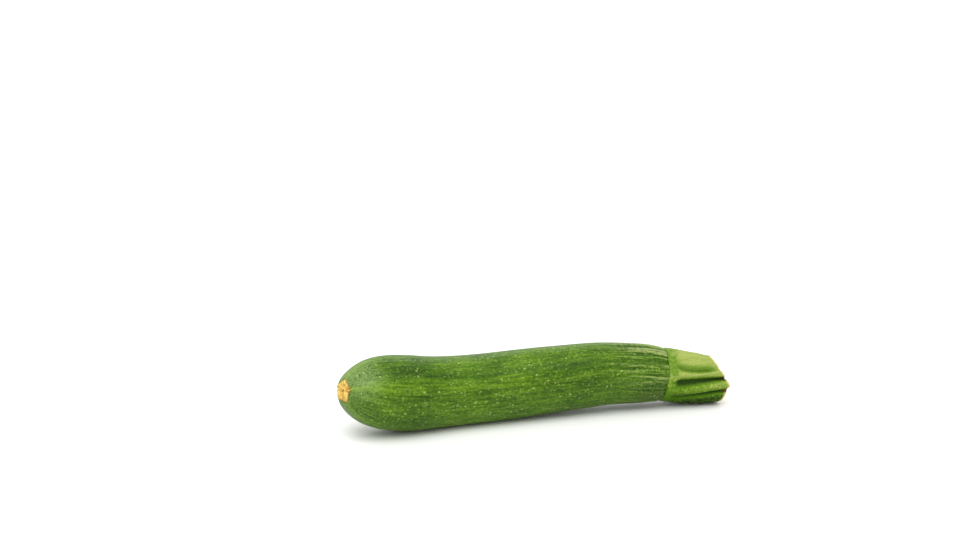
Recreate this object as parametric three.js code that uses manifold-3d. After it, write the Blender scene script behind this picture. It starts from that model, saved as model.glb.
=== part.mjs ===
// One courgette as picked: the fruit lies on its belly, with the stub of its cut stalk.
// Millimetres, +Z up. +X runs from the blossom end to the stalk, and the bow's hollow side faces -Y.
// The origin is on the floor, under the middle of the whole courgette.
//
// Both pieces are skins over one centre line. A ring stands square to that line at each station,
// and an angle on a ring is 0 on the -Y side and 90 on top. "Along" is the distance from the
// blossom end, measured on +X before the finished courgette is moved over the origin.

import * as THREE from 'three';
import { mergeVertices } from 'three/addons/utils/BufferGeometryUtils.js';
import Module from 'manifold-3d';

const wasm = await Module();
wasm.setup();

// ---- driving dimensions ----

const fruitLength = 166; // blossom scar's edge to stalk seat
const stalkLength = 33.4;
const bellyRadius = 18.3;
const domeLength = 35; // from the blossom scar's edge to the widest ring
const domeBluntness = 3.1; // 2 would be half an ellipsoid, and more is blunter
const scarRadius = 5;
const scarBoss = 0.5; // how far the corky scar stands out
const scarPit = 0.5; // how far the boss is sunk in its middle
const bossTaper = 0.72; // the boss's outer face over the whole scar, in radius
const shoulderRadius = 14.5;
const seatRadius = 12.8; // the fruit's end, under the stalk's collar
const collarRadius = 13.4;
const stalkEndRadius = 11;
const bowDepth = 8; // the middle's distance from a straight line between the two ends
const hookDepth = 1.2; // the blossom end's own turn towards -Y
const hookLength = 6;
const seatGap = 0.3; // clear space between the fruit and the stalk

const fruitSides = 72;
const stalkSides = 90;

const seatAlong = fruitLength;
const totalLength = fruitLength + stalkLength;

// Height of the centre line over the floor. The belly rests from about 35 to 85, the neck is
// lifted, and the line comes down again to the stalk's end, which also touches the floor.
const axisHeights = [
  [0, 24.2],
  [15, 21.2],
  [34, 18.2],
  [52, 17.0],
  [74, 16.4],
  [104, 17.1],
  [132, 18.2],
  [150, 17.5],
  [seatAlong, 15.9],
  [182, 13.2],
  [totalLength, 10.5],
];

// Radius of the body behind the dome.
const bodyRadii = [
  [domeLength, bellyRadius],
  [50, 17.3],
  [76, 16.8],
  [104, 16.6],
  [126, 16.1],
  [142, 15.2],
  [156, shoulderRadius],
  [163, 13.5],
  [fruitLength, seatRadius],
];

// Height of the five soft ribs over the mean skin.
const ribHeights = [
  [0, 0.3],
  [30, 0.15],
  [120, 0.2],
  [156, 0.4],
  [fruitLength, 0.5],
];
const ribCount = 5;
const firstRibAngle = 18;

// The stalk's grooves, with the ridges standing between them. Each runs from one angle at the
// collar to another at the cut, and a bowed one swings aside by so many degrees on the way.
const grooves = [
  { from: 42, to: 50, bowed: -16, depth: 1.7, halfWidth: 8 },
  { from: -6, to: 26, bowed: 0, depth: 3.0, halfWidth: 6 },
  { from: -58, to: -13, bowed: 4, depth: 2.4, halfWidth: 9 },
  { from: -102, to: -66, bowed: 0, depth: 2.6, halfWidth: 8 },
  { from: -148, to: -112, bowed: 5, depth: 2.8, halfWidth: 9 },
  { from: -188, to: -160, bowed: 0, depth: 2.2, halfWidth: 7 },
  { from: 134, to: 154, bowed: -5, depth: 2.7, halfWidth: 9 },
  { from: 92, to: 106, bowed: 4, depth: 2.0, halfWidth: 7 },
];
const stalkTwist = 32; // the whole stalk's turn from the collar to the cut, in degrees
const grooveStart = 3.5; // smooth collar before the grooves begin
const grooveRunIn = 4.5; // from nothing to full depth

// Radius over the stalk's crests.
const crestRadii = [
  [seatAlong, collarRadius],
  [seatAlong + 8, 13.6],
  [seatAlong + 16, 13.2],
  [seatAlong + 25, 12.2],
  [totalLength, stalkEndRadius],
];

// The slanting cut: how far it falls short of the full length on each side of the stalk.
const cutShortOnTop = 9.5;
const cutShortBelow = 2.5;
const cutShortBehind = 3;
const cutCurve = 1.4; // 1 would be a flat cut, and more curves it away faster near the top

// ---- curves ----

/** A smooth curve through [place, value] pairs, going straight on beyond both ends. */
function through(pairs, place) {
  const last = pairs.length - 1;
  const slopeAt = (i) => {
    const [before, after] = [Math.max(i - 1, 0), Math.min(i + 1, last)];
    return (pairs[after][1] - pairs[before][1]) / (pairs[after][0] - pairs[before][0]);
  };
  if (place <= pairs[0][0]) return pairs[0][1] + slopeAt(0) * (place - pairs[0][0]);
  if (place >= pairs[last][0]) return pairs[last][1] + slopeAt(last) * (place - pairs[last][0]);
  const i = pairs.findIndex(([start], k) => start <= place && place < pairs[k + 1][0]);
  const span = pairs[i + 1][0] - pairs[i][0];
  const t = (place - pairs[i][0]) / span;
  const rise = pairs[i + 1][1] - pairs[i][1];
  const ease = t * t * (3 - 2 * t);
  const leaving = t * (1 - t) * (1 - t) * span * slopeAt(i);
  const arriving = t * t * (1 - t) * span * slopeAt(i + 1);
  return pairs[i][1] + rise * ease + leaving - arriving;
}

/** The centre line's point at a distance along the courgette. */
function axisPoint(along) {
  const fromMiddle = (2 * along) / totalLength - 1;
  const bow = bowDepth * (1 - fromMiddle * fromMiddle);
  const hook = hookDepth * Math.exp(-along / hookLength);
  return new THREE.Vector3(along, bow - hook, through(axisHeights, along));
}

/** A point on a skin: a radius and an angle in degrees, on the ring at a distance along. */
function skinPoint(along, radius, degrees) {
  const step = 0.5;
  const forward = axisPoint(along + step).sub(axisPoint(along - step)).normalize();
  const aside = forward.clone().cross(new THREE.Vector3(0, 0, 1)).normalize();
  const upward = aside.clone().cross(forward);
  const angle = THREE.MathUtils.degToRad(degrees);
  return axisPoint(along)
    .addScaledVector(aside, radius * Math.cos(angle))
    .addScaledVector(upward, radius * Math.sin(angle));
}

/** A skin over rings of equal length, closed by a fan to a middle point at each end. */
function closedSkin(rings, startMiddle, endMiddle) {
  const sides = rings[0].length;
  const points = [...rings.flat(), startMiddle, endMiddle];
  const [start, end] = [points.length - 2, points.length - 1];
  const corners = [];
  for (let j = 0; j < sides; j += 1) {
    const next = (j + 1) % sides;
    for (let i = 0; i + 1 < rings.length; i += 1) {
      const [here, ahead] = [i * sides, (i + 1) * sides];
      corners.push(here + j, ahead + j, here + next, ahead + j, ahead + next, here + next);
    }
    const lastRing = (rings.length - 1) * sides;
    corners.push(start, j, next, end, lastRing + next, lastRing + j);
  }
  const geometry = new THREE.BufferGeometry().setFromPoints(points);
  geometry.setIndex(corners);
  return geometry;
}

/** Every angle of a ring with this many sides, in degrees. */
function anglesAround(sides) {
  return Array.from({ length: sides }, (_, j) => (360 * j) / sides);
}

/** Evenly spaced distances from one place to another, both ends included. */
function placesBetween(from, to, steps) {
  return Array.from({ length: steps + 1 }, (_, i) => from + ((to - from) * i) / steps);
}

// ---- solids ----

/** A closed geometry as a solid that can be cut. */
function solidOf(geometry) {
  const bare = geometry.clone();
  bare.deleteAttribute('normal');
  bare.deleteAttribute('uv');
  const merged = mergeVertices(bare, 1e-5);
  const mesh = new wasm.Mesh({
    numProp: 3,
    vertProperties: Float32Array.from(merged.attributes.position.array),
    triVerts: Uint32Array.from(merged.index.array),
  });
  return new wasm.Manifold(mesh);
}

/** Takes away what reaches below the floor, which leaves a small flat where a piece rests. */
function restedOnFloor(geometry) {
  const depth = 20;
  const floor = new THREE.BoxGeometry(3 * totalLength, totalLength, depth);
  floor.translate(totalLength / 2, 0, -depth / 2);
  const { vertProperties, triVerts } = solidOf(geometry).subtract(solidOf(floor)).getMesh();
  const rested = new THREE.BufferGeometry();
  rested.setAttribute('position', new THREE.BufferAttribute(vertProperties, 3));
  rested.setIndex(new THREE.BufferAttribute(triVerts, 1));
  return rested;
}

/** A named mesh of one piece, moved over the origin, with its own material. */
function piece(name, geometry, colour, roughness) {
  const material = new THREE.MeshStandardMaterial({ color: colour, roughness, metalness: 0 });
  const mesh = new THREE.Mesh(geometry, material);
  mesh.name = name;
  return mesh;
}

// ---- fruit ----

/** Mean radius of the fruit: a blunt dome over the blossom end, then the body. */
function fruitRadius(along) {
  if (along >= domeLength) return through(bodyRadii, along);
  // The dome is r = R * sqrt(1 - u^n). At the pole, which the scar cuts off, u would be 1, and it
  // falls to 0 at the widest ring.
  const scarU = (1 - (scarRadius / bellyRadius) ** 2) ** (1 / domeBluntness);
  const u = scarU * (1 - along / domeLength);
  return bellyRadius * Math.sqrt(1 - u ** domeBluntness);
}

/** The stations of the fruit's rings, closer together where its outline turns. */
function fruitStations() {
  const shoulderStart = 148;
  const dome = placesBetween(0, 1, 14).map((t) => domeLength * t ** 1.8);
  const body = placesBetween(domeLength, shoulderStart, 22).slice(1);
  const shoulder = placesBetween(shoulderStart, fruitLength, 8).slice(1);
  return [...dome, ...body, ...shoulder];
}

/** One ring of the fruit, with its soft ribs. */
function fruitRing(along, radius) {
  return anglesAround(fruitSides).map((degrees) => {
    const turn = THREE.MathUtils.degToRad(ribCount * (degrees - firstRibAngle));
    return skinPoint(along, radius + through(ribHeights, along) * Math.cos(turn), degrees);
  });
}

function makeFruit() {
  const bossRing = fruitRing(-scarBoss, scarRadius * bossTaper);
  const skinRings = fruitStations().map((along) => fruitRing(along, fruitRadius(along)));
  const scarMiddle = axisPoint(scarPit - scarBoss);
  return restedOnFloor(closedSkin([bossRing, ...skinRings], scarMiddle, axisPoint(fruitLength)));
}

// ---- stalk ----

/** How deep the grooves are at a place: each is a soft trough about its own line. */
function grooveDepth(along, degrees) {
  const { smoothstep, euclideanModulo } = THREE.MathUtils;
  const fromSeat = along - seatAlong;
  const way = fromSeat / stalkLength;
  const runIn = smoothstep(fromSeat, grooveStart, grooveStart + grooveRunIn);
  const depths = grooves.map(({ from, to, bowed, depth, halfWidth }) => {
    const line = from + (to - from) * way + bowed * Math.sin(Math.PI * way);
    const away = Math.abs(euclideanModulo(degrees - line + 180, 360) - 180) / halfWidth;
    return depth * Math.exp(-(away ** 1.6));
  });
  return runIn * depths.reduce((sum, depth) => sum + depth, 0);
}

/** How far the cut falls short of the stalk's full length at an angle. */
function cutShort(degrees) {
  const angle = THREE.MathUtils.degToRad(degrees);
  const [towardsFront, upwards] = [Math.cos(angle), Math.sin(angle)];
  const upDown = upwards > 0 ? cutShortOnTop * upwards ** cutCurve : -cutShortBelow * upwards;
  return upDown + cutShortBehind * Math.max(0, -towardsFront);
}

function makeStalk() {
  const baseAlong = seatAlong + seatGap;
  const rings = placesBetween(0, 1, 18).map((t) => anglesAround(stalkSides).map((start) => {
    const degrees = start + stalkTwist * t; // the mesh turns with the stalk's grain
    const along = baseAlong + (totalLength - cutShort(degrees) - baseAlong) * t;
    return skinPoint(along, through(crestRadii, along) - grooveDepth(along, degrees), degrees);
  }));
  const cutMiddle = rings.at(-1).reduce((sum, point) => sum.add(point), new THREE.Vector3());
  cutMiddle.divideScalar(stalkSides);
  return restedOnFloor(closedSkin(rings, axisPoint(baseAlong), cutMiddle));
}

// ---- courgette ----

const courgette = new THREE.Group();
courgette.add(piece('fruit', makeFruit(), 0x5f8a2a, 0.45));
courgette.add(piece('stalk', makeStalk(), 0x8fae4c, 0.6));

const box = new THREE.Box3().setFromObject(courgette);
const middle = box.getCenter(new THREE.Vector3());
courgette.position.set(-middle.x, -middle.y, -box.min.z);

export default courgette;
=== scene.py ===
"""A courgette on a pale table: a soft-ribbed waxy fruit with a corky scar, and a grooved cut stalk."""

import logging
import math
from dataclasses import dataclass, field
from enum import Enum

import bpy
import numpy as np
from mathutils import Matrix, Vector


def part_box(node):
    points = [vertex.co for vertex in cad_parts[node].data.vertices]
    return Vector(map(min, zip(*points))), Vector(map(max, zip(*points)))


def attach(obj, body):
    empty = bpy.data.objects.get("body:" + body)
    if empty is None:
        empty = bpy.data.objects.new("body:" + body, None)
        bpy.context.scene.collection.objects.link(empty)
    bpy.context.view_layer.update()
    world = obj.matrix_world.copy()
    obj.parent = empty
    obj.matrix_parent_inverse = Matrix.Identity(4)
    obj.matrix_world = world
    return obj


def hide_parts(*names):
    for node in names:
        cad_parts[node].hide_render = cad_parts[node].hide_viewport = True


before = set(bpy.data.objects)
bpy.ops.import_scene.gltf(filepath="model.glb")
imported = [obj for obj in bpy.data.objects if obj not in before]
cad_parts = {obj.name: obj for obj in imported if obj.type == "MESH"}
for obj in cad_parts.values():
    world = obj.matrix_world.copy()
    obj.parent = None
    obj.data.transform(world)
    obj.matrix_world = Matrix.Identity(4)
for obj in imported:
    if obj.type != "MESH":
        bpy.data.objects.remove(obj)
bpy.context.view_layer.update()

MM_PER_M = 1000.0
BAKE_MAP = "OFBake"
UNDERSIDE = -90.0  # the angle where a skin's map has its seam
log = logging.getLogger("courgette")

Colour = tuple[float, float, float, float]
Point = tuple[float, float, float]
Span = tuple[float, float]  # where a soft step starts, and where it ends


class Body(Enum):
    """The moving bodies of the model. A courgette is grown as one."""

    WHOLE = "root"


class Slot(Enum):
    """Names of the skin's and the stalk's finishes; no piece here reads them."""

    SKIN = "skin"
    STALK = "stalk"


def tint(red: int, green: int, blue: int) -> Colour:
    """A colour as the eye names it, 0 to 255 a channel, in the linear light that shaders use."""
    shares = (value / 255 for value in (red, green, blue))
    return (*(s / 12.92 if s <= 0.04045 else ((s + 0.055) / 1.055) ** 2.4 for s in shares), 1.0)


# ---- shapes ----


def ease(value: np.ndarray, start: float, end: float) -> np.ndarray:
    """A soft step from 0 at start to 1 at end."""
    share = np.clip((value - start) / (end - start), 0.0, 1.0)
    return share * share * (3 - 2 * share)


@dataclass(frozen=True)
class Stations:
    """A smooth curve through (place along the courgette, value) pairs, straight beyond both ends."""

    pairs: tuple[tuple[float, float], ...]

    def at(self, along: np.ndarray) -> np.ndarray:
        """The curve's values.

        Args:
            along: Places along the courgette, in millimetres.

        Returns:
            One value for each place.
        """
        places, values = np.array(self.pairs, float).T
        slopes = np.empty_like(values)
        slopes[1:-1] = (values[2:] - values[:-2]) / (places[2:] - places[:-2])
        slopes[0] = (values[1] - values[0]) / (places[1] - places[0])
        slopes[-1] = (values[-1] - values[-2]) / (places[-1] - places[-2])
        i = np.clip(np.searchsorted(places, along, side="right") - 1, 0, len(places) - 2)
        span = places[i + 1] - places[i]
        t = np.clip((along - places[i]) / span, 0.0, 1.0)
        rise = (values[i + 1] - values[i]) * t * t * (3 - 2 * t)
        bend = span * (t * (1 - t) ** 2 * slopes[i] - t * t * (1 - t) * slopes[i + 1])
        before = slopes[0] * np.minimum(along - places[0], 0.0)
        beyond = slopes[-1] * np.maximum(along - places[-1], 0.0)
        return values[i] + rise + bend + before + beyond


@dataclass(frozen=True)
class Ripples:
    """A seeded field of soft waves: bumps that never repeat, nearly all between -1 and 1.

    They are as wide as their size, and a scale of 0.1 on an axis makes them ten times as long there.
    """

    seed: int
    size: float
    scale: tuple[float, float, float] = (1.0, 1.0, 1.0)
    waves: int = 28

    def at(self, points: np.ndarray) -> np.ndarray:
        """The field's values.

        Args:
            points: Places in millimetres, with the last axis x, y, z.

        Returns:
            One value for each point.
        """
        draw = np.random.default_rng(self.seed)
        ways = draw.normal(size=(self.waves, 3))
        ways /= np.linalg.norm(ways, axis=1, keepdims=True)
        ways *= 2 * math.pi / (self.size * draw.uniform(0.75, 1.5, (self.waves, 1)))
        starts = draw.uniform(0, 2 * math.pi, self.waves)
        scaled = points * self.scale
        total = sum(np.cos(scaled @ way + start) for way, start in zip(ways, starts))
        return total / math.sqrt(2 * self.waves)


@dataclass(frozen=True)
class CentreLine:
    """The courgette's bowed middle line. It starts at the blossom scar, and lies along X over the floor."""

    total: float = 199.4
    seat: float = 166.0
    bow: float = 8.0
    hook: float = 1.2
    hook_length: float = 6.0
    heights: Stations = Stations((
        (0, 24.2), (15, 21.2), (34, 18.2), (52, 17.0), (74, 16.4), (104, 17.1),
        (132, 18.2), (150, 17.5), (166, 15.9), (182, 13.2), (199.4, 10.5),
    ))

    def at(self, along: np.ndarray) -> np.ndarray:
        """Points of the line.

        Args:
            along: Places along the courgette, in millimetres.

        Returns:
            The points, with a last axis x, y, z.
        """
        from_middle = 2 * along / self.total - 1
        aside = self.bow * (1 - from_middle**2) - self.hook * np.exp(-along / self.hook_length)
        return np.stack([along, aside, self.heights.at(along)], axis=-1)

    def skin(self, along: np.ndarray, radius: np.ndarray, degrees: np.ndarray) -> np.ndarray:
        """Points on a skin round the line.

        Args:
            along: Places along the courgette, in millimetres.
            radius: Distances from the line.
            degrees: Angles round it: 0 faces -Y and 90 is up.

        Returns:
            The points, with a last axis x, y, z.
        """
        step = 0.5
        forward = self.at(along + step) - self.at(along - step)
        forward /= np.linalg.norm(forward, axis=-1, keepdims=True)
        aside = np.cross(forward, (0.0, 0.0, 1.0))
        aside /= np.linalg.norm(aside, axis=-1, keepdims=True)
        upward = np.cross(aside, forward)
        angle = np.radians(degrees)
        out = aside * np.cos(angle)[..., None] + upward * np.sin(angle)[..., None]
        return self.at(along) + radius[..., None] * out


def around(degrees: np.ndarray, along: np.ndarray, radius: float | np.ndarray) -> np.ndarray:
    """Straightened places: (along, and a point on a circle).

    Args:
        degrees: Angles round the line.
        along: Places along it.
        radius: The circle's radius.

    Returns:
        The places, with a last axis x, y, z.
    """
    angle = np.radians(degrees)
    return np.stack(np.broadcast_arrays(along, radius * np.cos(angle), radius * np.sin(angle)), axis=-1)


@dataclass
class ClosedSkin:
    """A skin over rings of equal length, closed by a fan at each end, with facts that its finish reads."""

    name: str
    rings: np.ndarray
    middles: tuple[np.ndarray, np.ndarray]
    rows: np.ndarray
    facts: dict[str, np.ndarray] = field(default_factory=dict)

    def build(self, shift: np.ndarray) -> bpy.types.Object:
        """Makes the piece, resting on the floor where it would reach below it.

        Args:
            shift: From the courgette's own measure to the model's frame, in millimetres.

        Returns:
            The piece, with its bake map and its facts as attributes.
        """
        count, sides = self.rings.shape[:2]
        points = np.concatenate([self.rings.reshape(-1, 3), *(m[None] for m in self.middles)]) + shift
        points[:, 2] = np.maximum(points[:, 2], 0.0)
        j = np.arange(sides)
        following = (j + 1) % sides
        here = (np.arange(count - 1) * sides)[:, None]
        quads = np.stack([here + j, here + sides + j, here + sides + following, here + following], axis=-1)
        start, end, last = count * sides, count * sides + 1, (count - 1) * sides
        first_fan = np.stack([np.full(sides, start), j, following], axis=-1)
        last_fan = np.stack([np.full(sides, end), last + following, last + j], axis=-1)
        mesh = bpy.data.meshes.new(self.name)
        faces = quads.reshape(-1, 4).tolist() + first_fan.tolist() + last_fan.tolist()
        mesh.from_pydata((points / MM_PER_M).tolist(), [], faces)
        mesh.shade_smooth()
        mesh.uv_layers.new(name=BAKE_MAP).data.foreach_set("uv", self._map(count, sides).ravel())
        for name, values in self.facts.items():
            self._store(mesh, name, values)
        piece = bpy.data.objects.new(self.name, mesh)
        bpy.context.scene.collection.objects.link(piece)
        return piece

    def _map(self, count: int, sides: int) -> np.ndarray:
        """The bake map, a strip for each row of faces: one place for each corner of each face.

        Args:
            count: How many rings there are; not used.
            sides: How many columns each has.

        Returns:
            The corners' places, 0 to 1 both ways.
        """
        margin = 0.004
        u = margin + (1 - 2 * margin) * np.arange(sides + 1) / sides
        v = margin + (1 - 2 * margin) * (self.rows - self.rows[0]) / (self.rows[-1] - self.rows[0])
        u0, v0 = np.meshgrid(u[:-1], v[1:-2])
        u1, v1 = np.meshgrid(u[1:], v[2:-1])
        quads = np.stack([u0, v0, u0, v1, u1, v1, u1, v0], axis=-1).reshape(-1, 2)
        middle = (u[:-1] + u[1:]) / 2
        low, ring, last, high = (np.full(sides, v[k]) for k in (0, 1, -2, -1))
        first_fan = np.stack([middle, low, u[:-1], ring, u[1:], ring], axis=-1).reshape(-1, 2)
        last_fan = np.stack([middle, high, u[1:], last, u[:-1], last], axis=-1).reshape(-1, 2)
        return np.concatenate([quads, first_fan, last_fan])

    def _store(self, mesh: bpy.types.Mesh, name: str, values: np.ndarray) -> None:
        """Keeps one fact on the mesh, as a number or a vector for each point.

        Args:
            mesh: The piece's mesh.
            name: What its finish calls the fact.
            values: The fact on each ring's points. The two middles take their ring's mean.
        """
        flat = values.reshape(-1, *values.shape[2:])
        middles = [values[0].mean(axis=0)[None], values[-1].mean(axis=0)[None]]
        whole = np.concatenate([flat, *middles])
        if whole.ndim == 2:
            mesh.attributes.new(name, "FLOAT_VECTOR", "POINT").data.foreach_set("vector", whole.ravel())
        else:
            mesh.attributes.new(name, "FLOAT", "POINT").data.foreach_set("value", whole)


# ---- shaders ----


class Flow:
    """A socket's value on its way through a material. Arithmetic on it adds Math nodes."""

    def __init__(self, board: "Board", socket: bpy.types.NodeSocket) -> None:
        """Wraps an output socket of one of the board's nodes."""
        self.board = board
        self.socket = socket

    def _math(self, operation: str, first: "Flow | float", second: "Flow | float") -> "Flow":
        """A Math node between two values."""
        return self.board.node("ShaderNodeMath", {"operation": operation}, {0: first, 1: second})

    def __add__(self, other: "Flow | float") -> "Flow":
        """This plus other."""
        return self._math("ADD", self, other)

    __radd__ = __add__

    def __sub__(self, other: "Flow | float") -> "Flow":
        """This less other."""
        return self._math("SUBTRACT", self, other)

    def __rsub__(self, other: float) -> "Flow":
        """Other less this."""
        return self._math("SUBTRACT", other, self)

    def __mul__(self, other: "Flow | float") -> "Flow":
        """This times other."""
        return self._math("MULTIPLY", self, other)

    __rmul__ = __mul__


class Board:
    """The nodes of one material, in millimetres of the piece's own straightened places."""

    def __init__(self, name: str) -> None:
        """Starts a bare material of this name."""
        self.material = bpy.data.materials.new(name)
        self.material.use_nodes = True
        self.tree = self.material.node_tree
        self.tree.nodes.clear()

    def node(
        self,
        kind: str,
        settings: dict[str, object] | None = None,
        inputs: dict[str | int, object] | None = None,
        output: str | int = 0,
    ) -> Flow:
        """Adds one node.

        Args:
            kind: The node's type.
            settings: Its own settings, which are set first. "stops" are a ramp's (place, colour) pairs.
            inputs: The value or Flow of each input socket that isn't left alone.
            output: The output socket that goes on.

        Returns:
            That output.
        """
        made = self.tree.nodes.new(kind)
        for name, value in (settings or {}).items():
            if name == "stops":
                self._set_stops(made.color_ramp, value)
            else:
                setattr(made, name, value)
        for name, value in (inputs or {}).items():
            if isinstance(value, Flow):
                self.tree.links.new(value.socket, made.inputs[name])
            else:
                made.inputs[name].default_value = value
        return Flow(self, made.outputs[output])

    def _set_stops(self, ramp: bpy.types.ColorRamp, stops: tuple) -> None:
        """Gives a ramp its (place, colour) stops in order."""
        for extra in stops[2:]:
            ramp.elements.new(extra[0])
        for element, (place, colour) in zip(ramp.elements, stops):
            element.position = place
            element.color = colour

    def number(self, name: str) -> Flow:
        """A number kept on the piece's points."""
        return self.node("ShaderNodeAttribute", {"attribute_name": name}, output="Fac")

    def place(self, name: str, lengthwise: float = 1.0) -> Flow:
        """A place kept on the piece's points, in millimetres, scaled lengthwise."""
        kept = self.node("ShaderNodeAttribute", {"attribute_name": name}, output="Vector")
        sockets = {0: kept, 1: (lengthwise, 1.0, 1.0)}
        return self.node("ShaderNodeVectorMath", {"operation": "MULTIPLY"}, sockets)

    def axis(self, place: Flow, letter: str) -> Flow:
        """One of a place's three numbers."""
        return self.node("ShaderNodeSeparateXYZ", {}, {0: place}, letter)

    def noise(self, place: Flow, size: float, detail: float = 3.0, rough: float = 0.55) -> Flow:
        """Cloudy noise about 0.5, with features of this size in millimetres."""
        sockets = {"Vector": place, "Scale": 1 / size, "Detail": detail, "Roughness": rough}
        return self.node("ShaderNodeTexNoise", {}, sockets, "Fac")

    def spots(self, place: Flow, spacing: float, radius: float, spread: float) -> Flow:
        """Soft round spots of uneven size, scattered about a spacing apart.

        Args:
            place: Where the pattern is read, in millimetres.
            spacing: The mean distance between neighbours.
            radius: A middling spot's radius, as a share of the spacing.
            spread: How far spots differ from that, as a share of the spacing.

        Returns:
            1 inside a spot and 0 between them.
        """
        sockets = {"Vector": place, "Scale": 1 / spacing}
        away = self.node("ShaderNodeTexVoronoi", {}, sockets, "Distance")
        draw = self.node("ShaderNodeTexVoronoi", {}, sockets, "Color")
        chance = self.node("ShaderNodeSeparateColor", {}, {0: draw}, 0)
        soft = 0.09
        return self.step(away + spread * (chance - 0.5), radius + soft, radius - soft)

    def step(self, value: Flow, start: float, end: float) -> Flow:
        """A soft step from 0 at start to 1 at end."""
        sockets = {"Value": value, "From Min": start, "From Max": end}
        return self.node("ShaderNodeMapRange", {"interpolation_type": "SMOOTHSTEP"}, sockets)

    def mix(self, share: Flow | float, below: object, above: object) -> Flow:
        """Two colours in a share from 0, all below, to 1, all above."""
        return self.node("ShaderNodeMix", {"data_type": "RGBA"}, {0: share, 6: below, 7: above}, 2)

    def ramp(self, value: Flow, stops: tuple) -> Flow:
        """A colour for each value, between (place, colour) stops."""
        return self.node("ShaderNodeValToRGB", {"stops": stops}, {0: value})

    def bump(self, height: Flow, depth: float, under: Flow | None = None) -> Flow:
        """A raised pattern.

        Args:
            height: The pattern, 0 to 1.
            depth: How high 1 stands, in millimetres.
            under: The bumped surface that it lies on, if there is one.

        Returns:
            The normal.
        """
        sockets: dict[str | int, object] = {"Height": height, "Distance": depth / MM_PER_M}
        if under:
            sockets["Normal"] = under
        return self.node("ShaderNodeBump", {}, sockets)

    def finish(self, inputs: dict[str | int, object]) -> bpy.types.Material:
        """Puts the last shader in, with these sockets, and gives the material back."""
        shader = self.node("ShaderNodeBsdfPrincipled", {}, inputs)
        last = self.tree.nodes.new("ShaderNodeOutputMaterial")
        self.tree.links.new(shader.socket, last.inputs["Surface"])
        return self.material


@dataclass(frozen=True)
class SkinGrain:
    """The patterns and places that the layers of the fruit's skin share."""

    along: Flow
    streaks: Flow
    mottle: Flow
    crumble: Flow
    upper: Flow
    shoulder: Flow
    to_scar: Flow


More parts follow.
